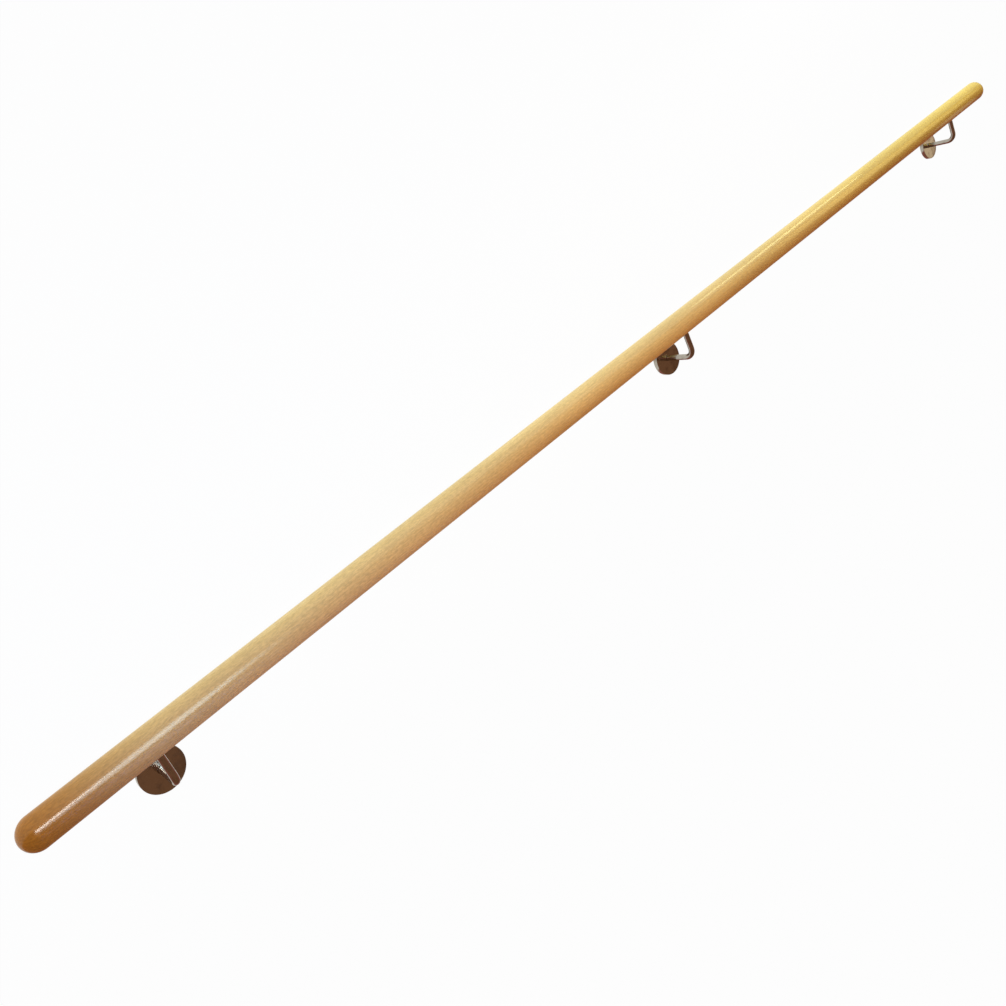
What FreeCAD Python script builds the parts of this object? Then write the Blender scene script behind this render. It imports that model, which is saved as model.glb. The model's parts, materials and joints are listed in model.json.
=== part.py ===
import FreeCAD, Part
import math
import os

from FreeCAD import Vector

# Round wooden handrail on bent-rod brackets, in millimetres.
# Each bracket is a screwed-on plate, a cover rosette that hides the plate, and an arm let into the rail.

# Rail
rail_diameter = 42.0
rail_length = 2400.0

# Brackets along the rail, and the rail's axis as it stands off the mounting face
bracket_count = 3
bracket_end_distance = 160.0
wall_distance = 68.0
bracket_drop = 66.0

# Arm, a round rod with one bend
arm_diameter = 10.0
arm_bend_radius = 17.0
socket_depth = 15.0
socket_clearance = 0.1

# Plate that the arm stands on
plate_thickness = 3.0
screw_count = 3
screw_circle_diameter = 42.0
screw_hole_diameter = 5.5

# Cover rosette
rosette_diameter = 60.0
rosette_height = 8.0
rosette_wall = 1.2
rosette_plate_clearance = 0.3
rosette_arm_clearance = 0.2

rail_radius = rail_diameter / 2
arm_radius = arm_diameter / 2
rosette_radius = rosette_diameter / 2
plate_radius = rosette_radius - rosette_wall - rosette_plate_clearance
socket_floor = socket_depth - rail_radius

along_rail = Vector(1, 0, 0)
off_the_wall = Vector(0, -1, 0)
upwards = Vector(0, 0, 1)
half_turn = 180.0
full_turn = 360.0


def line(start, end):
    return Part.LineSegment(start, end).toShape()


def arc(start, middle, end):
    return Part.Arc(start, middle, end).toShape()


def turned(edges, base, axis):
    """Solid of revolution from a closed outline that touches or clears its axis."""
    return Part.Face(Part.Wire(edges)).revolve(base, axis, full_turn)


def polygon(points):
    """Edges of a closed outline through the given points."""
    return [line(start, end) for start, end in zip(points, points[1:] + points[:1])]


def drilled(solid, holes):
    """The solid with the given holes cut out of it."""
    return solid.cut(holes).Solids[0]


def bracket_places():
    """Distances of the brackets from the middle of the rail."""
    reach = rail_length / 2 - bracket_end_distance
    pitch = 2 * reach / (bracket_count - 1)
    return [-reach + index * pitch for index in range(bracket_count)]


def bracket_point(place, radius, height):
    """Point at a radius from the bracket's own axis and a height off the mounting face."""
    return Vector(place + radius, wall_distance - height, -bracket_drop)


def make_rail():
    """Round bar with half-ball ends, drilled from below for each arm."""
    tip = rail_length / 2
    shoulder = tip - rail_radius
    diagonal = rail_radius * math.sqrt(0.5)
    near_tip = Vector(-tip, 0, 0)
    near_shoulder = Vector(-shoulder, 0, rail_radius)
    far_shoulder = Vector(shoulder, 0, rail_radius)
    far_tip = Vector(tip, 0, 0)
    edges = [
        arc(near_tip, Vector(-shoulder - diagonal, 0, diagonal), near_shoulder),
        line(near_shoulder, far_shoulder),
        arc(far_shoulder, Vector(shoulder + diagonal, 0, diagonal), far_tip),
        line(far_tip, near_tip),
    ]
    bar = turned(edges, Vector(0, 0, 0), along_rail)
    socket_radius = arm_radius + socket_clearance
    mouths = [Vector(place, 0, -rail_radius) for place in bracket_places()]
    return drilled(bar, [Part.makeCylinder(socket_radius, socket_depth, mouth, upwards) for mouth in mouths])


def make_arm(place):
    """Rod from the front of its plate, round one bend, to the floor of its socket in the rail."""
    drop = -bracket_drop
    inset = arm_bend_radius * (1 - math.sqrt(0.5))
    foot = Vector(place, wall_distance - plate_thickness, drop)
    bend_start = Vector(place, arm_bend_radius, drop)
    bend_middle = Vector(place, inset, drop + inset)
    bend_end = Vector(place, 0, drop + arm_bend_radius)
    top = Vector(place, 0, socket_floor)
    path = Part.Wire([line(foot, bend_start), arc(bend_start, bend_middle, bend_end), line(bend_end, top)])
    # Facing the wall, the section has its seam on the inside of the bend, which takes fewer facets
    section = Part.Wire(Part.Circle(foot, off_the_wall.negative(), arm_radius).toShape())
    return path.makePipeShell([section], True, False)


def make_wall_plate(place):
    """Disc with a ring of screw holes, one of them straight above the arm."""
    back = bracket_point(place, 0, 0)
    disc = Part.makeCylinder(plate_radius, plate_thickness, back, off_the_wall)
    first_hole = back + upwards * (screw_circle_diameter / 2)
    holes = []
    for index in range(screw_count):
        hole = Part.makeCylinder(screw_hole_diameter / 2, plate_thickness, first_hole, off_the_wall)
        hole.rotate(back, off_the_wall, full_turn * index / screw_count)
        holes.append(hole)
    return drilled(disc, holes)


def make_cover_rosette(place):
    """Thin flat cap, open at the back, with a hole for the arm."""
    inner_radius = rosette_radius - rosette_wall
    hole_radius = arm_radius + rosette_arm_clearance
    ceiling = rosette_height - rosette_wall
    outline = [
        bracket_point(place, rosette_radius, 0),
        bracket_point(place, rosette_radius, rosette_height),
        bracket_point(place, hole_radius, rosette_height),
        bracket_point(place, hole_radius, ceiling),
        bracket_point(place, inner_radius, ceiling),
        bracket_point(place, inner_radius, 0),
    ]
    return turned(polygon(outline), bracket_point(place, 0, 0), off_the_wall)


def lay_down(shape):
    """Turns a mounted piece to the way the handrail lies, on the rail and the rosettes' upper back rims."""
    rim_drop = bracket_drop - rosette_radius
    rim_distance = math.hypot(wall_distance, rim_drop)
    lean = math.atan2(rim_drop, wall_distance) + math.asin(rail_radius / rim_distance)
    lower_rim = bracket_drop + rosette_radius
    rosette_side = wall_distance * math.cos(lean) + lower_rim * math.sin(lean)
    shift_to_middle = (rosette_side - rail_radius) / 2
    shape.rotate(Vector(0, 0, 0), along_rail, half_turn + math.degrees(lean))
    shape.translate(Vector(0, shift_to_middle, rail_radius))
    return shape


def make_pieces():
    """Every piece by name, the brackets numbered from the rail's lower end."""
    pieces = {"handrail": make_rail()}
    for number, place in enumerate(bracket_places(), start=1):
        pieces[f"wall_plate_{number}"] = make_wall_plate(place)
        pieces[f"cover_rosette_{number}"] = make_cover_rosette(place)
        pieces[f"arm_{number}"] = make_arm(place)
    return pieces


os.makedirs("parts", exist_ok=True)
for name, piece in make_pieces().items():
    lay_down(piece).exportStep(f"parts/{name}.step")
    print(name, piece.ShapeType, "valid" if piece.isValid() else "faulty", round(piece.Volume, 1))
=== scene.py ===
import json
import math
from typing import NamedTuple

import bmesh
import bpy
from mathutils import Matrix, Vector


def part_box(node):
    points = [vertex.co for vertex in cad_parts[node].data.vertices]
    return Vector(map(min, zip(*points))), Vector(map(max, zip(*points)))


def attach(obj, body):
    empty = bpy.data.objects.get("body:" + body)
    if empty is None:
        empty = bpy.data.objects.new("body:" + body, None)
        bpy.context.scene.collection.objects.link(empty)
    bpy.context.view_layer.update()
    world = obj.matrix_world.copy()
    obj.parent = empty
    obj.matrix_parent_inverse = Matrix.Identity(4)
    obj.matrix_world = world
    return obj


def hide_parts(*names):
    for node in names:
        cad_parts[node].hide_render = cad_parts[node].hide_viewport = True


# Looks of a round wooden wall handrail on three bent-rod brackets, in metres.

bl_info = {
    "name": "Wall handrail",
    "version": (1, 0, 0),
    "blender": (4, 5, 0),
    "location": "View3D > Sidebar > Handrail",
    "description": "Makes the finished pieces of a wooden wall handrail, its materials and its stage",
    "category": "Object",
}

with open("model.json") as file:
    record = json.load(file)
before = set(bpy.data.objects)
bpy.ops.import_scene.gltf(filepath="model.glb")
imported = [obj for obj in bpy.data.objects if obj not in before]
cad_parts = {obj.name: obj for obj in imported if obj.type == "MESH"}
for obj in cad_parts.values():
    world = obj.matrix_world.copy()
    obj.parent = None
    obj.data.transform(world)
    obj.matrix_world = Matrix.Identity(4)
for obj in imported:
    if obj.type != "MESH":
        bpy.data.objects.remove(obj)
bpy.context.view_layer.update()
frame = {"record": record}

BODY = "root"
BENCH = "bench_position"
SIZE_DECIMALS = 4
MM_PER_METRE = 1000
JOIN_DISTANCE = 1e-6
SHARP_ANGLE = math.radians(35)
QUARTER_TURN = math.pi / 2


# Sizes and places that the frame gives

def box_size(node):
    """Sides of a node's box, to the tenth of a millimetre."""
    low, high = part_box(node)
    return Vector(round(side, SIZE_DECIMALS) for side in high - low)


def disc_thickness(node, radius, axis):
    """Thickness of a round disc that stands at a slant in its box."""
    slanted = 2 * radius * math.sqrt(1 - axis.y ** 2)
    return round((box_size(node).y - slanted) / abs(axis.y), SIZE_DECIMALS)


SCREW_MOUNTS = [mount for mount in frame["record"]["mounts"] if mount["kind"] == "bolt_pattern"]
BRACKET_PLACES = [Vector(mount["pos_m"]) for mount in SCREW_MOUNTS]
OFF_THE_WALL = -Vector(SCREW_MOUNTS[0]["axis"])
SCREW_RING = SCREW_MOUNTS[0]["dims"]

RAIL_LOW, RAIL_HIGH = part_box("handrail")
RAIL_CENTRE = (RAIL_LOW + RAIL_HIGH) / 2
RAIL_LENGTH = box_size("handrail").x
RAIL_HALF = RAIL_LENGTH / 2
RAIL_RADIUS = box_size("handrail").y / 2
ROD_RADIUS = box_size("arm_1").x / 2
ROSETTE_RADIUS = box_size("cover_rosette_1").x / 2
PLATE_RADIUS = box_size("wall_plate_1").x / 2
ROSETTE_HEIGHT = disc_thickness("cover_rosette_1", ROSETTE_RADIUS, OFF_THE_WALL)
PLATE_THICKNESS = disc_thickness("wall_plate_1", PLATE_RADIUS, OFF_THE_WALL)

FOOT_TO_RAIL = RAIL_CENTRE - BRACKET_PLACES[len(BRACKET_PLACES) // 2]
WALL_DISTANCE = round(FOOT_TO_RAIL.dot(OFF_THE_WALL), SIZE_DECIMALS)
RISE = FOOT_TO_RAIL - WALL_DISTANCE * OFF_THE_WALL
ARM_RISE = round(RISE.length, SIZE_DECIMALS)
ARM_DIRECTION = RISE.normalized()
BRACKET_LEAN = math.atan2(ARM_DIRECTION.z, ARM_DIRECTION.y)


def length_property(name, description, default):
    """A length in metres."""
    return bpy.props.FloatProperty(
        name=name, description=description, default=default, min=0, precision=5, unit="LENGTH"
    )


def share_property(name, description, default):
    """A share, from none to all."""
    return bpy.props.FloatProperty(
        name=name, description=description, default=default, min=0, max=1, subtype="FACTOR"
    )


def count_property(name, description, default):
    """A whole number of faces."""
    return bpy.props.IntProperty(name=name, description=description, default=default, min=3)


def colour_property(name, description, default):
    """A colour, or the colour and strength of a light."""
    return bpy.props.FloatVectorProperty(
        name=name, description=description, default=default, min=0, max=4, size=3, subtype="COLOR"
    )


def place_property(name, description, default):
    """A point, or a step from one."""
    return bpy.props.FloatVectorProperty(
        name=name, description=description, default=default, size=3, subtype="TRANSLATION", unit="LENGTH"
    )


class RailShape(bpy.types.PropertyGroup):
    """Sizes of the wooden rail."""

    length: length_property("Length", "From tip to tip", RAIL_LENGTH)
    radius: length_property("Radius", "Half the rail's thickness", RAIL_RADIUS)
    sides: count_property("Sides", "Faces round the rail", 128)
    body_rings: count_property("Body rings", "Faces along the straight", 300)
    tip_rings: count_property("Tip rings", "Faces along each half-ball end", 32)
    socket_depth: length_property("Socket depth", "How deep each arm goes into the rail", 0.015)
    socket_clearance: length_property("Socket clearance", "Room round the arm in its socket", 0.0001)
    sanding: length_property("Sanding", "Slight unevenness left by sanding", 0.00012)


class BracketShape(bpy.types.PropertyGroup):
    """Sizes of the steel brackets."""

    rod_radius: length_property("Rod radius", "Half the arm's thickness", ROD_RADIUS)
    bend_radius: length_property("Bend radius", "Radius of the arm's bend, at its middle line", 0.017)
    plate_radius: length_property("Plate radius", "Half the wall plate's width", PLATE_RADIUS)
    plate_thickness: length_property("Plate thickness", "Thickness of the wall plate", PLATE_THICKNESS)
    plate_edge: length_property("Plate edge", "Small chamfer on the plate's edges", 0.0002)
    rosette_radius: length_property("Rosette radius", "Half the cover rosette's width", ROSETTE_RADIUS)
    rosette_height: length_property("Rosette height", "How far it stands off the wall", ROSETTE_HEIGHT)
    rosette_wall: length_property("Rosette wall", "Thickness of its sheet", 0.0012)
    rosette_edge: length_property("Rosette edge", "Rounding of its edges", 0.0004)
    rosette_hole_clearance: length_property("Hole clearance", "Room round the arm in the rosette", 0.0002)


class WoodFinish(bpy.types.PropertyGroup):
    """Colours and grain of the lacquered wood."""

    pale: colour_property("Pale wood", "Early growth of each year", (0.80, 0.565, 0.232))
    late: colour_property("Late wood", "Late growth of each year", (0.635, 0.405, 0.132))
    fleck: colour_property("Flecks", "Short dark flecks along the grain", (0.30, 0.15, 0.045))
    # The two end tones are partly the wood's own tone and partly painted light: painted shade darkens the
    # lower end, and painted light brightens the upper end
    lower_tone_and_shade: colour_property("Lower tone", "Tone of the wood at the lower end", (0.66, 0.39, 0.1))
    upper_tone_and_light: colour_property("Upper tone", "Tone of the wood at the upper end", (1.1, 1.12, 0.58))
    ring_width: length_property("Ring width", "Width of one year's growth", 0.0034)
    pith: place_property("Pith", "Middle of the tree, from the rail's axis", (0.0, -0.052, 0.038))
    coat: share_property("Coat", "Share of the surface under clear lacquer", 0.9)
    coat_roughness: share_property("Coat roughness", "Roughness of the lacquer", 0.2)


class SteelFinish(bpy.types.PropertyGroup):
    """Colours of the stainless steel."""

    polished: colour_property("Polished steel", "Arms and rosettes", (0.53, 0.5, 0.455))
    worn: colour_property("Handled steel", "Where it is touched", (0.31, 0.27, 0.23))
    rolled: colour_property("Rolled steel", "Plates against the wall", (0.47, 0.46, 0.45))


class StageSettings(bpy.types.PropertyGroup):
    """Floor, light and camera."""

    floor: colour_property("Floor", "Colour of the floor", (0.02, 0.02, 0.02))
    floor_look: colour_property("Floor look", "Glow of the floor as the camera sees it", (0.976, 0.979, 0.98))
    floor_shine: colour_property("Floor shine", "Glow of the floor in glossy surfaces", (0.8, 0.78, 0.72))
    floor_tip: colour_property("Floor, tip", "Light from the floor at the lower tip", (0.96, 0.96, 0.88))
    floor_lower: colour_property("Floor, lower", "Light from the floor at the lower end", (1.1, 1.22, 1.35))
    floor_upper: colour_property("Floor, upper", "Light from the floor at the upper end", (1.38, 1.52, 1.15))
    backdrop: colour_property("Backdrop", "Lit wall behind the handrail", (0.982, 0.982, 0.982))
    room_sides: colour_property("Room sides", "Light from the sides of the room", (0.34, 0.12, 0.09))
    room_ceiling: colour_property("Room ceiling", "Light from above", (0.21, 0.1, 0.05))
    camera_place: place_property("Camera place", "Where the camera stands", (-1.1626, 1.2034, 0.4207))
    camera_aim: place_property("Camera aim", "Point that the camera looks at", (-0.4034, 0.0656, -0.0258))
    camera_roll: bpy.props.FloatProperty(
        name="Camera roll",
        description="Turn about the line of sight",
        default=math.radians(-131.238),
        unit="ROTATION",
    )
    camera_lens: bpy.props.FloatProperty(
        name="Lens", description="Focal length on a 36 mm sensor", default=34.704, unit="CAMERA"
    )
    camera_shift: bpy.props.FloatProperty(
        name="Shift", description="Upright shift of the frame", default=-0.0825
    )


# Node trees

FLOAT = "NodeSocketFloat"
WHOLE = "NodeSocketInt"
VECTOR = "NodeSocketVector"
MATERIAL = "NodeSocketMaterial"


class NodeKit:
    """Short ways to add nodes to a tree and to join them."""

    column = 200
    noise_low = 0.3
    noise_high = 0.7

    def __init__(self, tree):
        self.tree = tree

    def feed(self, socket, value):
        """Joins a socket to another node's output, or sets its value."""
        if isinstance(value, bpy.types.NodeSocket):
            self.tree.links.new(value, socket)
        else:
            socket.default_value = value

    def add(self, kind, feeds=None, **settings):
        """New node with its settings, and its inputs fed by name or number."""
        node = self.tree.nodes.new(kind)
        node.location.x = self.column * len(self.tree.nodes)
        for name, value in settings.items():
            setattr(node, name, value)
        for key, value in (feeds or {}).items():
            self.feed(node.inputs[key], value)
        return node

    def math(self, operation, *values):
        """Output of a math node."""
        node = self.add("ShaderNodeMath", dict(enumerate(values)), operation=operation)
        return node.outputs[0]

    def vector(self, operation, *values):
        """Output of a vector math node."""
        node = self.add("ShaderNodeVectorMath", dict(enumerate(values)), operation=operation)
        return node.outputs["Value" if operation in ("LENGTH", "DOT_PRODUCT") else "Vector"]

    def split(self, vector):
        """The three parts of a vector."""
        return self.add("ShaderNodeSeparateXYZ", {0: vector}).outputs

    def join(self, x, y, z):
        """Vector of three parts."""
        return self.add("ShaderNodeCombineXYZ", {0: x, 1: y, 2: z}).outputs[0]

    def remap(self, value, low, high, to_low=0.0, to_high=1.0, way="LINEAR"):
        """Value taken from one range to another, and held within it."""
        feeds = {0: value, 1: low, 2: high, 3: to_low, 4: to_high}
        return self.add("ShaderNodeMapRange", feeds, interpolation_type=way).outputs[0]

    def spread(self, noise, to_low, to_high):
        """The usual range of a noise, taken to another range."""
        return self.remap(noise, self.noise_low, self.noise_high, to_low, to_high)

    def mix(self, share, first, second, way="MIX"):
        """Blend of two colours."""
        node = self.add("ShaderNodeMix", {0: share, 6: first, 7: second}, data_type="RGBA", blend_type=way)
        return node.outputs[2]

    def noise(self, vector, scale=1.0, detail=2.0, roughness=0.5):
        """Soft noise texture."""
        feeds = {"Vector": vector, "Scale": scale, "Detail": detail, "Roughness": roughness}
        return self.add("ShaderNodeTexNoise", feeds)


def opaque(colour):
    """Colour as a colour socket takes it."""
    return (*colour, 1.0)


def new_group(kind, name, inputs, outputs):
    """Empty node group with named sockets, with its kit and its two end nodes."""
    tree = bpy.data.node_groups.new(name, kind)
    for socket_name, socket_kind in inputs:
        tree.interface.new_socket(socket_name, in_out="INPUT", socket_type=socket_kind)
    for socket_name, socket_kind in outputs:
        tree.interface.new_socket(socket_name, in_out="OUTPUT", socket_type=socket_kind)
    kit = NodeKit(tree)
    return kit, kit.add("NodeGroupInput").outputs, kit.add("NodeGroupOutput").inputs


# Surface effects that several materials share

SMUDGE_EDGE = (0.42, 0.68)
DEEP_LINE_EDGE = (0.6, 0.75)


def smudges_group():
    """Soft patches where a surface has been handled."""
    inputs = [("Vector", VECTOR), ("Size", FLOAT)]
    kit, given, result = new_group("ShaderNodeTree", "Smudges", inputs, [("Mask", FLOAT)])
    scaled = kit.vector("DIVIDE", given["Vector"], kit.join(given["Size"], given["Size"], given["Size"]))
    patches = kit.noise(scaled, detail=4.0, roughness=0.6).outputs[0]
    kit.feed(result["Mask"], kit.remap(patches, *SMUDGE_EDGE, way="SMOOTHSTEP"))
    return kit.tree


def polish_group():
    """Fine parallel lines left by polishing, with a few deeper ones."""
    inputs = [("Vector", VECTOR), ("Deeper", FLOAT)]
    outputs = [("Height", FLOAT), ("Shade", FLOAT)]
    kit, given, result = new_group("ShaderNodeTree", "Polishing lines", inputs, outputs)
    fine = kit.noise(given["Vector"], detail=3.0, roughness=0.65).outputs[0]
    coarse = kit.noise(given["Vector"], scale=0.23, detail=1.0).outputs[0]
    deeper = kit.math("MULTIPLY", kit.remap(coarse, *DEEP_LINE_EDGE), given["Deeper"])
    kit.feed(result["Height"], kit.math("SUBTRACT", fine, deeper))
    kit.feed(result["Shade"], kit.spread(fine, 0.0, 1.0))
    return kit.tree


def shared_group(name, make):
    """A shader group, made the first time that it is asked for."""
    return bpy.data.node_groups.get(name) or make()


def new_material(name):
    """Node material with a Principled shader."""
    material = bpy.data.materials.new(name)
    material.use_nodes = True
    kit = NodeKit(material.node_tree)
    shader = material.node_tree.nodes["Principled BSDF"]
    return material, kit, shader


# How often each pattern of the wood repeats in a metre, along the rail and across it
SWAY = (1.6, 14.0, 14.0)
FIBRES = (40.0, 800.0, 800.0)
MOTTLING = (170.0, 520.0, 520.0)
PATCHES = (3.0, 22.0, 22.0)
FLECKS = (210.0, 900.0, 900.0)

# How strong each pattern is, and where it starts and ends in a year's growth or a cell
SWAY_REACH = (0.0, 0.012, 0.012)
LATE_RISE = (0.35, 0.92)
LATE_DROP = (0.93, 1.0)
LATE_DEPTH = 0.22
FIBRE_TONE = (0.94, 1.05)
FIBRE_HEIGHT = 0.5
PATCH_TONE = (0.9, 1.08)
MOTTLED_TONE = (-0.13, 0.13)
FLECK_EDGE = (0.42, 0.18)
FLECK_DEPTH = 0.4
BARE_CELLS = 0.45
UPPER_STRENGTH = 0.25

# Where the tones of the two ends stop, in half lengths of the rail from its middle; besides the wood's own
# tone they hold painted shade at the lower end and painted light at the upper end
LOWER_TONE_AND_SHADE_END = -0.84
UPPER_TONE_AND_LIGHT_START = -0.1

# Lacquer, and what handling does to it
WOOD_ROUGHNESS = (0.34, 0.46)
WOOD_SMUDGE = 0.09
WOOD_DULLING = 0.06
LACQUER_IOR = 1.5


def lacquered_wood(finish):
    """Light fine-grained hardwood under clear lacquer, with its grain along X."""
    material, kit, shader = new_material("lacquered_wood")
    place = kit.add("ShaderNodeTexCoord").outputs["Object"]
    centred = kit.vector("SUBTRACT", place, RAIL_CENTRE)
    along = kit.split(centred)[0]

    def pattern(repeats, detail=2.0):
        """Noise that repeats so often in a metre."""
        return kit.noise(kit.vector("MULTIPLY", centred, repeats), detail=detail).outputs

    # Growth rings about the pith, swaying along the grain
    sway = kit.vector("SUBTRACT", pattern(SWAY)["Color"], (0.5, 0.5, 0.5))
    swayed = kit.vector("ADD", centred, kit.vector("MULTIPLY", sway, SWAY_REACH))
    from_pith = kit.vector("SUBTRACT", swayed, Vector(finish.pith))
    rings = kit.vector("LENGTH", kit.vector("MULTIPLY", from_pith, (0.0, 1.0, 1.0)))
    ring = kit.math("FRACT", kit.math("DIVIDE", rings, finish.ring_width))
    rise = kit.remap(ring, *LATE_RISE, way="SMOOTHSTEP")
    drop = kit.remap(ring, *LATE_DROP, 1.0, 0.0, way="SMOOTHSTEP")
    late = kit.math("MULTIPLY", rise, drop)

    # Fibres, mottling, broad patches and short flecks
    fibres = pattern(FIBRES, detail=3.0)[0]
    mottling = pattern(MOTTLING)[0]
    patches = pattern(PATCHES)[0]
    fleck_place = kit.vector("MULTIPLY", centred, FLECKS)
    cells = kit.add("ShaderNodeTexVoronoi", {"Vector": fleck_place, "Randomness": 1.0})
    core = kit.remap(cells.outputs["Distance"], *FLECK_EDGE)
    chosen = kit.math("GREATER_THAN", kit.split(cells.outputs["Color"])[0], BARE_CELLS)
    fleck = kit.math("MULTIPLY", core, chosen)

    # Mottling and flecks are fainter towards the upper end
    strength = kit.remap(along, -RAIL_HALF, RAIL_HALF, 1.0, UPPER_STRENGTH)
    growth = kit.math("MULTIPLY", late, LATE_DEPTH)
    colour = kit.mix(growth, opaque(finish.pale), opaque(finish.late))
    even_tone = kit.math("MULTIPLY", kit.spread(fibres, *FIBRE_TONE), kit.spread(patches, *PATCH_TONE))
    mottled_tone = kit.math("MULTIPLY_ADD", kit.spread(mottling, *MOTTLED_TONE), strength, 1.0)
    tone = kit.math("MULTIPLY", even_tone, mottled_tone)
    colour = kit.mix(1.0, colour, kit.join(tone, tone, tone), "MULTIPLY")
    fleck_depth = kit.math("MULTIPLY", kit.math("MULTIPLY", fleck, strength), FLECK_DEPTH)
    colour = kit.mix(fleck_depth, colour, opaque(finish.fleck))

    # The wood is browner and darker at the lower end, partly its own tone and partly painted shade, and
    # yellower and brighter at the upper end, partly its own tone and partly painted light
    lower = kit.remap(along, -RAIL_HALF, LOWER_TONE_AND_SHADE_END * RAIL_HALF, 1.0, 0.0, way="SMOOTHSTEP")
    upper = kit.remap(along, UPPER_TONE_AND_LIGHT_START * RAIL_HALF, RAIL_HALF, way="SMOOTHSTEP")
    colour = kit.mix(lower, colour, opaque(finish.lower_tone_and_shade), "MULTIPLY")
    colour = kit.mix(upper, colour, opaque(finish.upper_tone_and_light), "MULTIPLY")

    smudges = shared_group("Smudges", smudges_group)
    handled = kit.add("ShaderNodeGroup", {"Vector": centred, "Size": WOOD_SMUDGE}, node_tree=smudges)
    dulled = kit.math("MULTIPLY", handled.outputs["Mask"], WOOD_DULLING)
    height = kit.math("SUBTRACT", kit.math("MULTIPLY", fibres, FIBRE_HEIGHT), fleck)
    bump = kit.add("ShaderNodeBump", {"Strength": 0.25, "Distance": 0.00008, "Height": height})

    kit.feed(shader.inputs["Base Color"], colour)
    kit.feed(shader.inputs["Roughness"], kit.math("ADD", kit.spread(fibres, *WOOD_ROUGHNESS), dulled))
    kit.feed(shader.inputs["Normal"], bump.outputs[0])
    shader.inputs["Coat Weight"].default_value = finish.coat
    shader.inputs["Coat Roughness"].default_value = finish.coat_roughness
    shader.inputs["Coat IOR"].default_value = LACQUER_IOR
    shader.inputs["Specular IOR Level"].default_value = 0.0
    return material


# Roughness of clean and of handled steel
ROD_ROUGHNESS = (0.13, 0.24)
ROSETTE_ROUGHNESS = (0.12, 0.22)
PLATE_ROUGHNESS = (0.3, 0.42)

# What smudges and polishing lines do to it
STEEL_SMUDGE = 0.018
WORN_SHARE = 0.8
DEEP_LINES = 0.4
LINE_TONE = 0.9
LINE_ROUGHNESS = 0.05

# Polishing lines in a metre, and their breaks in a radian round a disc
ROD_LINES = (2600.0, 2600.0, 60.0)
SHEET_LINES = (40.0, 1800.0, 1800.0)
DISC_LINES = 2600.0
DISC_BREAKS = 1.5


def steel(name, clean, worn, polish_scale, roughness_range):
    """Stainless steel with polishing lines; polish_scale stretches the lines over the bench position."""
    material, kit, shader = new_material(name)
    smudges = shared_group("Smudges", smudges_group)
    polish = shared_group("Polishing lines", polish_group)
    bench = kit.add("ShaderNodeAttribute", attribute_name=BENCH).outputs["Vector"]
    line_feeds = {"Vector": polish_scale(kit, bench), "Deeper": DEEP_LINES}
    lines = kit.add("ShaderNodeGroup", line_feeds, node_tree=polish).outputs
    handled = kit.add("ShaderNodeGroup", {"Vector": bench, "Size": STEEL_SMUDGE}, node_tree=smudges)
    mask = handled.outputs["Mask"]

    colour = kit.mix(kit.math("MULTIPLY", mask, WORN_SHARE), opaque(clean), opaque(worn))
    shade = kit.remap(lines["Shade"], 0.0, 1.0, LINE_TONE, 1.0)
    colour = kit.mix(1.0, colour, kit.join(shade, shade, shade), "MULTIPLY")
    roughness = kit.remap(mask, 0.0, 1.0, *roughness_range)
    roughness = kit.math("ADD", roughness, kit.math("MULTIPLY", lines["Shade"], LINE_ROUGHNESS))
    bump = kit.add("ShaderNodeBump", {"Strength": 0.12, "Distance": 0.00003, "Height": lines["Height"]})
    kit.feed(shader.inputs["Base Color"], colour)
    kit.feed(shader.inputs["Roughness"], roughness)
    kit.feed(shader.inputs["Normal"], bump.outputs[0])
    shader.inputs["Metallic"].default_value = 1.0
    return material


def lines_along_rod(kit, bench):
    """Drawn lines: fine across the rod, long along it."""
    return kit.vector("MULTIPLY", bench, ROD_LINES)


def lines_round_disc(kit, bench):
    """Turned lines: fine across the radius, long round the disc."""
    x, y, z = kit.split(bench)
    radius = kit.vector("LENGTH", kit.join(x, y, 0.0))
    turn = kit.math("ARCTAN2", y, x)
    return kit.join(kit.math("MULTIPLY", radius, DISC_LINES), kit.math("MULTIPLY", turn, DISC_BREAKS), z)


def lines_across_sheet(kit, bench):
    """Rolled lines: long across the sheet."""
    return kit.vector("MULTIPLY", bench, SHEET_LINES)


# Shapes

GEOMETRY = [("Geometry", "NodeSocketGeometry")]

# Inputs that every shape tree ends with
PLACING = [("Place", VECTOR), ("Lean", FLOAT), ("Material", MATERIAL)]

# Faces round the small shapes, and steps round their bends and edges
SOCKET_SIDES = 64
ROD_SIDES = 64
ROSETTE_SIDES = 192
PLATE_SIDES = 160
HOLE_SIDES = 48
BEND_STEPS = 24
EDGE_STEPS = 5

# Waves in a metre of sanded wood, and how far outside the rail a drill starts, in radii
SANDING_WAVES = 9.0
DRILL_START = 0.1


def chosen_points(kit, points):
    """Position picked from a list of points by index."""
    picker = kit.add("GeometryNodeIndexSwitch", data_type="VECTOR")
    while len(picker.index_switch_items) < len(points):
        picker.index_switch_items.new()
    kit.feed(picker.inputs["Index"], kit.add("GeometryNodeInputIndex").outputs[0])
    for number, point in enumerate(points):
        kit.feed(picker.inputs[str(number)], point)
    return picker.outputs[0]


def finish_tree(kit, geometry, given, result):
    """Puts the piece in its place and gives it its material."""
    placed = kit.add("GeometryNodeTransform", {
        "Geometry": geometry,
        "Translation": given["Place"],
        "Rotation": kit.join(given["Lean"], 0.0, 0.0),
    })
    real = kit.add("GeometryNodeRealizeInstances", {"Geometry": placed.outputs[0]})
    painted = kit.add("GeometryNodeSetMaterial", {"Geometry": real.outputs[0], "Material": given["Material"]})
    kit.feed(result["Geometry"], painted.outputs[0])
    return kit.tree


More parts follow.
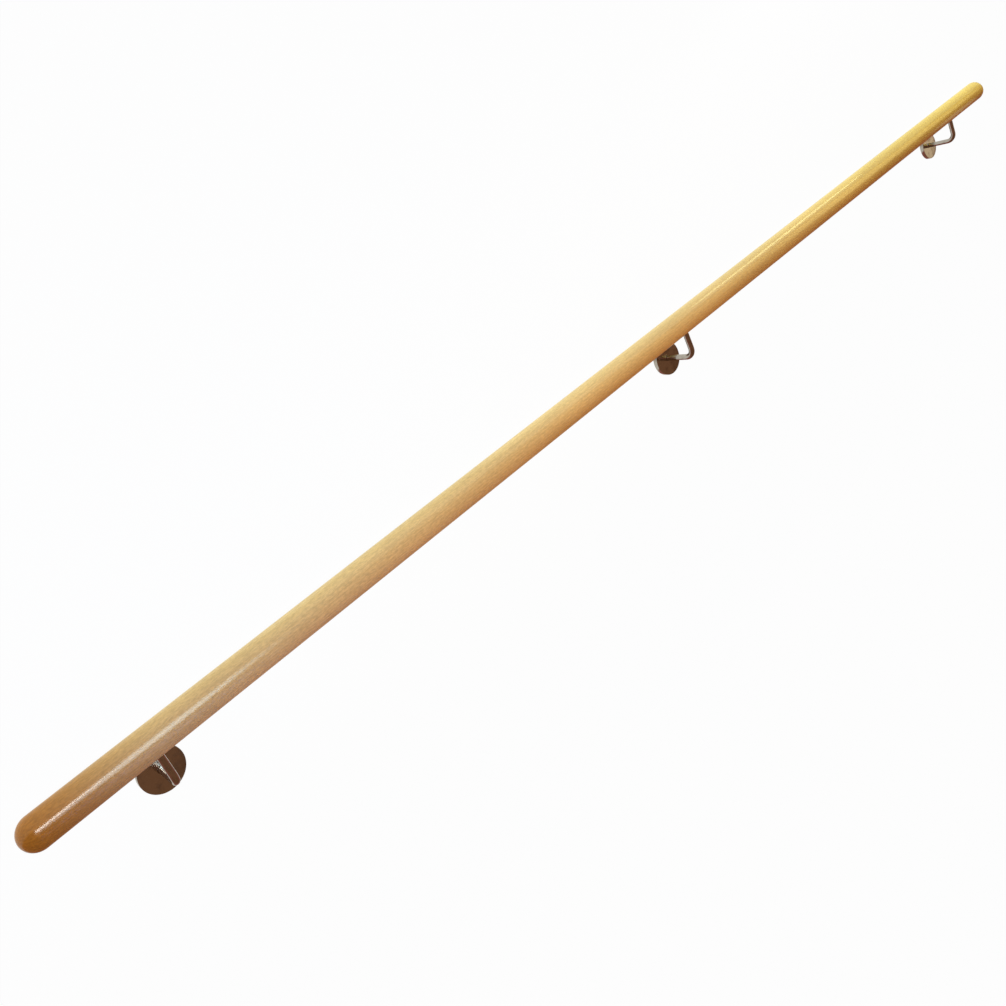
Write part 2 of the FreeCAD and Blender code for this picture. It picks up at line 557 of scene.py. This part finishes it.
def store_bench(kit, geometry, position):
    """Stores where each point lies before the piece is put in its place, for the lines of its steel."""
    feeds = {"Geometry": geometry, "Name": BENCH, "Value": position}
    node = kit.add("GeometryNodeStoreNamedAttribute", feeds, data_type="FLOAT_VECTOR", domain="POINT")
    return node.outputs[0]


def drilled_with(kit, mesh, drills):
    """Mesh with the drills cut out of it."""
    feeds = {"Mesh 1": mesh, "Mesh 2": drills}
    return kit.add("GeometryNodeMeshBoolean", feeds, operation="DIFFERENCE", solver="EXACT").outputs[0]


def rail_tree():
    """Round bar with half-ball ends, by formula from a grid, drilled where the arms go in."""
    inputs = [
        ("Length", FLOAT), ("Radius", FLOAT), ("Sides", WHOLE), ("Body Rings", WHOLE), ("Tip Rings", WHOLE),
        ("Sanding", FLOAT), ("Arms", WHOLE), ("First Arm", FLOAT), ("Arm Pitch", FLOAT),
        ("Socket Radius", FLOAT), ("Socket Depth", FLOAT), *PLACING,
    ]
    kit, given, result = new_group("GeometryNodeTree", "Round rail", inputs, GEOMETRY)
    tips = kit.math("MULTIPLY", given["Tip Rings"], 2.0)
    rings = kit.math("ADD", given["Body Rings"], tips)
    grid = kit.add("GeometryNodeMeshGrid", {
        "Size X": 1.0,
        "Size Y": 1.0,
        "Vertices X": kit.math("ADD", rings, 1.0),
        "Vertices Y": kit.math("ADD", given["Sides"], 1.0),
    })
    across = kit.split(kit.add("GeometryNodeInputPosition").outputs[0])
    along = kit.math("ADD", across[0], 0.5)
    tip_share = kit.math("DIVIDE", given["Tip Rings"], rings)
    body_end = kit.math("SUBTRACT", 1.0, tip_share)
    straight = kit.math("SUBTRACT", kit.math("MULTIPLY", given["Length"], 0.5), given["Radius"])
    near_turn = kit.remap(along, 0.0, tip_share, 0.0, QUARTER_TURN)
    far_turn = kit.remap(along, body_end, 1.0, 0.0, QUARTER_TURN)
    body = kit.remap(along, tip_share, body_end, kit.math("MULTIPLY", straight, -1.0), straight)
    near_tip = kit.math("MULTIPLY", given["Radius"], kit.math("COSINE", near_turn))
    far_tip = kit.math("MULTIPLY", given["Radius"], kit.math("SINE", far_turn))
    x = kit.math("ADD", kit.math("SUBTRACT", body, near_tip), far_tip)
    girth = kit.math("MULTIPLY", kit.math("SINE", near_turn), kit.math("COSINE", far_turn))
    turn = kit.math("MULTIPLY", across[1], 2 * math.pi)
    cosine = kit.math("COSINE", turn)
    sine = kit.math("SINE", turn)
    waves = kit.join(kit.math("MULTIPLY", x, SANDING_WAVES), cosine, sine)
    uneven = kit.noise(waves, scale=0.8, detail=1.0).outputs[0]
    uneven = kit.math("MULTIPLY", kit.math("SUBTRACT", uneven, 0.5), given["Sanding"])
    radius = kit.math("MULTIPLY", kit.math("ADD", given["Radius"], uneven), girth)
    shaped = kit.add("GeometryNodeSetPosition", {
        "Geometry": grid.outputs["Mesh"],
        "Position": kit.join(x, kit.math("MULTIPLY", radius, cosine), kit.math("MULTIPLY", radius, sine)),
    })
    closed = kit.add("GeometryNodeMergeByDistance", {
        "Geometry": shaped.outputs[0], "Distance": JOIN_DISTANCE,
    })

    # Sockets, from just outside the rail to their floors
    outside = kit.math("MULTIPLY", given["Radius"], DRILL_START)
    drill_length = kit.math("ADD", given["Socket Depth"], outside)
    drill = kit.add("GeometryNodeMeshCylinder", {
        "Vertices": SOCKET_SIDES, "Radius": given["Socket Radius"], "Depth": drill_length,
    })
    to_middle = kit.math("SUBTRACT", given["Socket Depth"], kit.math("MULTIPLY", drill_length, 0.5))
    height = kit.math("SUBTRACT", to_middle, given["Radius"])
    row = kit.add("GeometryNodeMeshLine", {
        "Count": given["Arms"],
        "Start Location": kit.join(given["First Arm"], height, 0.0),
        "Offset": kit.join(given["Arm Pitch"], 0.0, 0.0),
    })
    drills = kit.add("GeometryNodeInstanceOnPoints", {
        "Points": row.outputs[0], "Instance": drill.outputs["Mesh"], "Rotation": (QUARTER_TURN, 0.0, 0.0),
    })
    drills = kit.add("GeometryNodeRealizeInstances", {"Geometry": drills.outputs[0]})

    # The bar is turned back before it is drilled, so that its facets are level once the piece leans
    lean_back = kit.math("MULTIPLY", given["Lean"], -1.0)
    upright = kit.add("GeometryNodeTransform", {
        "Geometry": closed.outputs[0], "Rotation": kit.join(lean_back, 0.0, 0.0),
    })
    drilled = drilled_with(kit, upright.outputs[0], drills.outputs[0])
    return finish_tree(kit, drilled, given, result)


def arm_tree():
    """Round rod along a path with one rounded bend."""
    inputs = [
        ("Rod Radius", FLOAT), ("Bend Radius", FLOAT), ("Foot", FLOAT), ("Reach", FLOAT), ("Top", FLOAT),
        *PLACING,
    ]
    kit, given, result = new_group("GeometryNodeTree", "Bent arm", inputs, GEOMETRY)
    foot = kit.join(0.0, 0.0, given["Foot"])
    elbow = kit.join(0.0, 0.0, given["Reach"])
    top = kit.join(0.0, given["Top"], given["Reach"])
    corners = [foot, elbow, top]
    path = kit.add("GeometryNodeCurvePrimitiveLine", {"Start": foot, "End": top})
    path = kit.add("GeometryNodeResampleCurve", {
        "Curve": path.outputs[0], "Count": len(corners),
    }, mode="COUNT")
    path = kit.add("GeometryNodeSetPosition", {
        "Geometry": path.outputs[0], "Position": chosen_points(kit, corners),
    })
    path = kit.add("GeometryNodeFilletCurve", {
        "Curve": path.outputs[0], "Count": BEND_STEPS, "Radius": given["Bend Radius"],
    }, mode="POLY")
    length = kit.add("GeometryNodeSplineParameter").outputs["Length"]
    path = kit.add("GeometryNodeCaptureAttribute", {"Geometry": path.outputs[0]})
    path.capture_items.new("FLOAT", "Length")
    kit.feed(path.inputs["Length"], length)
    section = kit.add("GeometryNodeCurvePrimitiveCircle", {
        "Resolution": ROD_SIDES, "Radius": given["Rod Radius"],
    })
    section = kit.add("GeometryNodeCaptureAttribute", {"Geometry": section.outputs[0]})
    section.capture_items.new("VECTOR", "Across")
    kit.feed(section.inputs["Across"], kit.add("GeometryNodeInputPosition").outputs[0])
    rod = kit.add("GeometryNodeCurveToMesh", {
        "Curve": path.outputs[0], "Profile Curve": section.outputs[0], "Fill Caps": True,
    })
    across = kit.split(section.outputs["Across"])
    unbent = kit.join(across[0], across[1], path.outputs["Length"])
    return finish_tree(kit, store_bench(kit, rod.outputs[0], unbent), given, result)


def rosette_tree():
    """Thin round cap, open at the back, turned from its section."""
    inputs = [
        ("Radius", FLOAT), ("Height", FLOAT), ("Wall", FLOAT), ("Hole Radius", FLOAT), ("Edge", FLOAT),
        *PLACING,
    ]
    kit, given, result = new_group("GeometryNodeTree", "Cover rosette", inputs, GEOMETRY)
    outer = 0.0
    inner = kit.math("MULTIPLY", given["Wall"], -1.0)
    hole = kit.math("SUBTRACT", given["Hole Radius"], given["Radius"])
    front = kit.math("MULTIPLY", given["Height"], -1.0)
    ceiling = kit.math("ADD", front, given["Wall"])
    corners = [(outer, 0.0), (outer, front), (hole, front), (hole, ceiling), (inner, ceiling), (inner, 0.0)]
    section = kit.add("GeometryNodeCurvePrimitiveCircle", {"Resolution": len(corners)})
    section = kit.add("GeometryNodeSetPosition", {
        "Geometry": section.outputs[0],
        "Position": chosen_points(kit, [kit.join(x, y, 0.0) for x, y in corners]),
    })
    section = kit.add("GeometryNodeFilletCurve", {
        "Curve": section.outputs[0], "Count": EDGE_STEPS, "Radius": given["Edge"],
    }, mode="POLY")
    path = kit.add("GeometryNodeCurvePrimitiveCircle", {
        "Resolution": ROSETTE_SIDES, "Radius": given["Radius"],
    })
    cap = kit.add("GeometryNodeCurveToMesh", {
        "Curve": path.outputs[0], "Profile Curve": section.outputs[0],
    })
    position = kit.add("GeometryNodeInputPosition").outputs[0]
    return finish_tree(kit, store_bench(kit, cap.outputs[0], position), given, result)


def plate_tree():
    """Round plate with a ring of screw holes."""
    inputs = [
        ("Radius", FLOAT), ("Thickness", FLOAT), ("Holes", WHOLE), ("Hole Circle Radius", FLOAT),
        ("Hole Radius", FLOAT), *PLACING,
    ]
    kit, given, result = new_group("GeometryNodeTree", "Wall plate", inputs, GEOMETRY)
    half = kit.math("MULTIPLY", given["Thickness"], 0.5)
    through = kit.math("MULTIPLY", given["Thickness"], 2.0)
    disc = kit.add("GeometryNodeMeshCylinder", {
        "Vertices": PLATE_SIDES, "Radius": given["Radius"], "Depth": given["Thickness"],
    })
    ring = kit.add("GeometryNodeMeshCircle", {
        "Vertices": given["Holes"], "Radius": given["Hole Circle Radius"],
    })
    drill = kit.add("GeometryNodeMeshCylinder", {
        "Vertices": HOLE_SIDES, "Radius": given["Hole Radius"], "Depth": through,
    })
    drills = kit.add("GeometryNodeInstanceOnPoints", {
        "Points": ring.outputs[0], "Instance": drill.outputs["Mesh"],
    })
    drills = kit.add("GeometryNodeRealizeInstances", {"Geometry": drills.outputs[0]})
    drills = kit.add("GeometryNodeTransform", {
        "Geometry": drills.outputs[0], "Rotation": (0.0, 0.0, QUARTER_TURN),
    })
    drilled = drilled_with(kit, disc.outputs["Mesh"], drills.outputs[0])
    seated = kit.add("GeometryNodeTransform", {
        "Geometry": drilled, "Translation": kit.join(0.0, 0.0, half),
    })
    position = kit.add("GeometryNodeInputPosition").outputs[0]
    return finish_tree(kit, store_bench(kit, seated.outputs[0], position), given, result)


def grown_piece(name, tree, values):
    """Plain mesh object made by a shape tree with the given inputs."""
    piece = bpy.data.objects.new(name, bpy.data.meshes.new(name))
    bpy.context.scene.collection.objects.link(piece)
    modifier = piece.modifiers.new("Shape", "NODES")
    modifier.node_group = tree
    sockets = {item.name: item.identifier for item in tree.interface.items_tree if item.in_out == "INPUT"}
    for key, value in values.items():
        modifier[sockets[key]] = value
    graph = bpy.context.evaluated_depsgraph_get()
    mesh = bpy.data.meshes.new_from_object(
        piece.evaluated_get(graph), preserve_all_data_layers=True, depsgraph=graph
    )
    piece.modifiers.remove(modifier)
    blank = piece.data
    piece.data = mesh
    bpy.data.meshes.remove(blank)
    mesh.name = name
    if not mesh.polygons:
        raise RuntimeError(f"{name} came out empty")
    return piece


def close_and_smooth(piece, edge=0.0):
    """Merges doubles, turns the faces outwards, chamfers sharp edges if asked, and shades the rest smooth."""
    mesh = piece.data
    work = bmesh.new()
    work.from_mesh(mesh)
    bmesh.ops.remove_doubles(work, verts=work.verts, dist=JOIN_DISTANCE)
    bmesh.ops.recalc_face_normals(work, faces=work.faces)
    if edge:
        sharp = [crease for crease in work.edges if crease.calc_face_angle(0.0) > SHARP_ANGLE]
        bmesh.ops.bevel(work, geom=sharp, offset=edge, segments=2, affect="EDGES", clamp_overlap=True)
    work.to_mesh(mesh)
    work.free()
    mesh.shade_smooth()
    mesh.set_sharp_from_angle(angle=SHARP_ANGLE)


def hand_over(piece, node):
    """Puts a finished piece in the place of its node."""
    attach(piece, BODY)
    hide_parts(node)


def bracket_values(place, material):
    """Inputs that place a piece, lean it as the handrail lies, and give it its material."""
    return {"Place": place, "Lean": BRACKET_LEAN, "Material": material}


def make_on_brackets(name, node, tree, sizes, metal, edge=0.0):
    """Makes one such piece for each bracket, numbered from the rail's lower end."""
    for number, place in enumerate(BRACKET_PLACES, start=1):
        piece = grown_piece(f"{name}_{number}", tree, {**sizes, **bracket_values(place, metal)})
        close_and_smooth(piece, edge)
        hand_over(piece, f"{node}_{number}")


class HANDRAIL_OT_make_rail(bpy.types.Operator):
    """Make the lacquered wooden rail"""

    bl_idname = "handrail.make_rail"
    bl_label = "Make Rail"

    def execute(self, context):
        shape = context.scene.rail_shape
        wood = lacquered_wood(context.scene.wood_finish)
        first = BRACKET_PLACES[0].x - RAIL_CENTRE.x
        last = BRACKET_PLACES[-1].x - RAIL_CENTRE.x
        rail = grown_piece("rail_wood", rail_tree(), {
            "Length": shape.length,
            "Radius": shape.radius,
            "Sides": shape.sides,
            "Body Rings": shape.body_rings,
            "Tip Rings": shape.tip_rings,
            "Sanding": shape.sanding,
            "Arms": len(BRACKET_PLACES),
            "First Arm": first,
            "Arm Pitch": (last - first) / (len(BRACKET_PLACES) - 1),
            "Socket Radius": context.scene.bracket_shape.rod_radius + shape.socket_clearance,
            "Socket Depth": shape.socket_depth,
            **bracket_values(RAIL_CENTRE, wood),
        })
        close_and_smooth(rail)
        hand_over(rail, "handrail")
        return {"FINISHED"}


class HANDRAIL_OT_make_arms(bpy.types.Operator):
    """Make the bent rods that carry the rail"""

    bl_idname = "handrail.make_arms"
    bl_label = "Make Arms"

    def execute(self, context):
        shape = context.scene.bracket_shape
        rail = context.scene.rail_shape
        finish = context.scene.steel_finish
        metal = steel("rod_steel", finish.polished, finish.worn, lines_along_rod, ROD_ROUGHNESS)
        sizes = {
            "Rod Radius": shape.rod_radius,
            "Bend Radius": shape.bend_radius,
            "Foot": shape.plate_thickness,
            "Reach": WALL_DISTANCE,
            "Top": ARM_RISE - rail.radius + rail.socket_depth,
        }
        make_on_brackets("arm_rod", "arm", arm_tree(), sizes, metal)
        return {"FINISHED"}


class HANDRAIL_OT_make_rosettes(bpy.types.Operator):
    """Make the flat caps that cover the wall plates"""

    bl_idname = "handrail.make_rosettes"
    bl_label = "Make Rosettes"

    def execute(self, context):
        shape = context.scene.bracket_shape
        finish = context.scene.steel_finish
        metal = steel("rosette_steel", finish.polished, finish.worn, lines_round_disc, ROSETTE_ROUGHNESS)
        sizes = {
            "Radius": shape.rosette_radius,
            "Height": shape.rosette_height,
            "Wall": shape.rosette_wall,
            "Hole Radius": shape.rod_radius + shape.rosette_hole_clearance,
            "Edge": shape.rosette_edge,
        }
        make_on_brackets("rosette_cap", "cover_rosette", rosette_tree(), sizes, metal)
        return {"FINISHED"}


class HANDRAIL_OT_make_plates(bpy.types.Operator):
    """Make the screwed plates under the rosettes"""

    bl_idname = "handrail.make_plates"
    bl_label = "Make Wall Plates"

    def execute(self, context):
        shape = context.scene.bracket_shape
        finish = context.scene.steel_finish
        metal = steel("plate_steel", finish.rolled, finish.worn, lines_across_sheet, PLATE_ROUGHNESS)
        sizes = {
            "Radius": shape.plate_radius,
            "Thickness": shape.plate_thickness,
            "Holes": SCREW_RING["count"],
            "Hole Circle Radius": SCREW_RING["pcd_mm"] / 2 / MM_PER_METRE,
            "Hole Radius": SCREW_RING["hole_r_mm"] / MM_PER_METRE,
        }
        tree = plate_tree()
        make_on_brackets("plate_disc", "wall_plate", tree, sizes, metal, shape.plate_edge)
        return {"FINISHED"}


# Stage

FLOOR_REACH = 30.0
SENSOR_WIDTH = 36.0

# Where the light of the lower tip ends on the floor, in half lengths of the rail from its middle
FLOOR_TIP_END = -0.72

# Heights over the horizon at which the sides of the room end and its ceiling starts
SIDES_END = math.radians(12)
CEILING_START = math.radians(42)


def make_floor(stage):
    """Wide pale floor that glows softly, like a light table."""
    mesh = bpy.data.meshes.new("floor")
    corners = [(x * FLOOR_REACH, y * FLOOR_REACH, 0.0) for x, y in ((-1, -1), (1, -1), (1, 1), (-1, 1))]
    mesh.from_pydata(corners, [], [(0, 1, 2, 3)])
    floor = bpy.data.objects.new("floor", mesh)
    bpy.context.scene.collection.objects.link(floor)
    material, kit, shader = new_material("pale_floor")
    shader.inputs["Base Color"].default_value = opaque(stage.floor)
    shader.inputs["Roughness"].default_value = 0.9
    shader.inputs["Specular IOR Level"].default_value = 0.0
    shader.inputs["Emission Strength"].default_value = 1.0
    ray = kit.add("ShaderNodeLightPath").outputs
    along = kit.split(kit.add("ShaderNodeTexCoord").outputs["Object"])[0]
    upper = kit.remap(along, -RAIL_HALF, RAIL_HALF)
    tip = kit.remap(along, -RAIL_HALF, FLOOR_TIP_END * RAIL_HALF, 1.0, 0.0)
    light = kit.mix(upper, opaque(stage.floor_lower), opaque(stage.floor_upper))
    light = kit.mix(tip, light, opaque(stage.floor_tip))
    light = kit.mix(ray["Is Glossy Ray"], light, opaque(stage.floor_shine))
    kit.feed(shader.inputs["Emission Color"], kit.mix(ray["Is Camera Ray"], light, opaque(stage.floor_look)))
    material.cycles.emission_sampling = "NONE"
    mesh.materials.append(material)


def make_room(stage):
    """White backdrop for the camera, and a warm room that is dim overhead for everything else."""
    world = bpy.data.worlds.new("room")
    world.use_nodes = True
    bpy.context.scene.world = world
    kit = NodeKit(world.node_tree)
    direction = kit.add("ShaderNodeTexCoord").outputs["Generated"]
    ceiling = kit.remap(kit.split(direction)[2], math.sin(SIDES_END), math.sin(CEILING_START))
    room = kit.mix(ceiling, opaque(stage.room_sides), opaque(stage.room_ceiling))
    seen = kit.add("ShaderNodeLightPath").outputs["Is Camera Ray"]
    colour = kit.mix(seen, room, opaque(stage.backdrop))
    kit.feed(world.node_tree.nodes["Background"].inputs["Color"], colour)


def look_at(place, aim, roll):
    """Matrix of something at a place that looks at a point, turned about its line of sight."""
    forward = (Vector(aim) - Vector(place)).normalized()
    level = forward.cross(Vector((0, 0, 1))).normalized()
    upright = level.cross(forward)
    up = upright * math.cos(roll) + level * math.sin(roll)
    right = forward.cross(up)
    turned = Matrix((right, up, -forward)).transposed().to_4x4()
    return Matrix.Translation(place) @ turned


def on_rail(x):
    """Point on the rail's axis."""
    return Vector((x, RAIL_CENTRE.y, RAIL_CENTRE.z))


class Lamp(NamedTuple):
    """Soft oval lamp, unseen by the camera, that shades matt surfaces, shines in glossy ones or both."""

    place: tuple
    aim: Vector
    size: tuple
    glow: float
    colour: tuple
    shades: bool = True
    shines: bool = True
    beam: float = math.pi


# The softboxes give the shading; the others only show as highlights
LAMPS = {
    "cool_softbox": Lamp(
        place=(-0.95, 0.35, 0.8), aim=on_rail(-0.95), size=(0.5, 0.5),
        glow=5.4, colour=(0.15, 0.4, 1.0), shines=False,
    ),
    "warm_softbox": Lamp(
        place=(-0.35, 0.35, 0.9), aim=on_rail(-0.35), size=(0.8, 0.5),
        glow=3.0, colour=(1.0, 0.57, 0.0), shines=False,
    ),
    "upper_softbox": Lamp(
        place=(-0.05, 0.9, 0.16), aim=on_rail(0.65), size=(0.6, 0.24),
        glow=2.9, colour=(1.0, 0.88, 0.95), shines=False,
    ),
    "window_light": Lamp(
        place=(-0.85, 1.85, 0.8), aim=on_rail(-1.2), size=(0.7, 1.3),
        glow=12.0, colour=(0.58, 0.82, 1.0), shades=False, beam=math.radians(54),
    ),
    "small_lamp": Lamp(
        place=(-1.22, 1.9, 0.66), aim=on_rail(-1.2), size=(0.25, 0.4),
        glow=26.0, colour=(1.0, 1.0, 0.95), shades=False, beam=math.radians(64),
    ),
    "far_wall": Lamp(
        place=(2.9, 1.3, 0.67), aim=on_rail(2.9), size=(1.9, 1.4),
        glow=2.5, colour=(1.0, 0.83, 0.32), shades=False,
    ),
    "edge_strip": Lamp(
        place=(0.35, 0.09, 0.004), aim=on_rail(0.35), size=(0.62, 0.012),
        glow=4.8, colour=(0.9, 1.0, 0.55), shades=False,
    ),
    "end_card": Lamp(
        place=(1.255, 0.014, 0.16), aim=BRACKET_PLACES[-1], size=(0.12, 0.12),
        glow=0.6, colour=(1.0, 0.93, 0.62), shades=False,
    ),
}


def add_lamp(name, lamp):
    """Puts a lamp in its place; its glow is how bright it is from straight in front."""
    width, height = lamp.size
    light = bpy.data.lights.new(name, "AREA")
    light.shape = "ELLIPSE"
    light.size = width
    light.size_y = height
    light.energy = lamp.glow * math.pi * (math.pi / 4 * width * height)
    if lamp.beam < math.pi:
        # A grid before the lamp keeps its power in the beam, so the power is cut for the same glow
        light.spread = lamp.beam
        light.energy *= 1 - lamp.beam / 2 / math.tan(lamp.beam / 2)
    light.color = lamp.colour
    holder = bpy.data.objects.new(name, light)
    holder.matrix_world = look_at(lamp.place, lamp.aim, 0.0)
    holder.visible_camera = False
    holder.visible_diffuse = lamp.shades
    holder.visible_glossy = lamp.shines
    bpy.context.scene.collection.objects.link(holder)


def make_camera(stage):
    """Camera that looks up along the rail from its lower end."""
    camera = bpy.data.cameras.new("camera")
    camera.sensor_width = SENSOR_WIDTH
    camera.lens = stage.camera_lens
    camera.shift_y = stage.camera_shift
    holder = bpy.data.objects.new("camera", camera)
    holder.matrix_world = look_at(stage.camera_place, stage.camera_aim, stage.camera_roll)
    bpy.context.scene.collection.objects.link(holder)
    bpy.context.scene.camera = holder


class HANDRAIL_OT_set_stage(bpy.types.Operator):
    """Make the floor, the light and the camera"""

    bl_idname = "handrail.set_stage"
    bl_label = "Set Stage"

    def execute(self, context):
        stage = context.scene.stage_settings
        make_floor(stage)
        make_room(stage)
        make_camera(stage)
        for name, lamp in LAMPS.items():
            add_lamp(name, lamp)
        context.scene.view_settings.view_transform = "Standard"
        return {"FINISHED"}


class HANDRAIL_PT_sidebar(bpy.types.Panel):
    """Handrail tools"""

    bl_idname = "HANDRAIL_PT_sidebar"
    bl_label = "Wall Handrail"
    bl_space_type = "VIEW_3D"
    bl_region_type = "UI"
    bl_category = "Handrail"

    def draw(self, context):
        for group in PROPERTY_GROUPS:
            settings = getattr(context.scene, group)
            for name in settings.bl_rna.properties.keys():
                if name not in ("rna_type", "name"):
                    self.layout.prop(settings, name)
        for operator in OPERATORS:
            self.layout.operator(operator.bl_idname)


PROPERTY_GROUPS = {
    "rail_shape": RailShape,
    "bracket_shape": BracketShape,
    "wood_finish": WoodFinish,
    "steel_finish": SteelFinish,
    "stage_settings": StageSettings,
}
OPERATORS = [
    HANDRAIL_OT_make_rail,
    HANDRAIL_OT_make_arms,
    HANDRAIL_OT_make_rosettes,
    HANDRAIL_OT_make_plates,
    HANDRAIL_OT_set_stage,
]
CLASSES = [*PROPERTY_GROUPS.values(), *OPERATORS, HANDRAIL_PT_sidebar]


def register():
    """Makes the settings, the operators and the panel known."""
    for each in CLASSES:
        bpy.utils.register_class(each)
    for name, group in PROPERTY_GROUPS.items():
        setattr(bpy.types.Scene, name, bpy.props.PointerProperty(type=group))


def unregister():
    """Takes them away again."""
    for name in PROPERTY_GROUPS:
        delattr(bpy.types.Scene, name)
    for each in reversed(CLASSES):
        bpy.utils.unregister_class(each)


def main():
    """Makes every piece and the stage."""
    register()
    bpy.ops.handrail.make_rail()
    bpy.ops.handrail.make_arms()
    bpy.ops.handrail.make_rosettes()
    bpy.ops.handrail.make_plates()
    bpy.ops.handrail.set_stage()


if __name__ == "__main__":
    main()
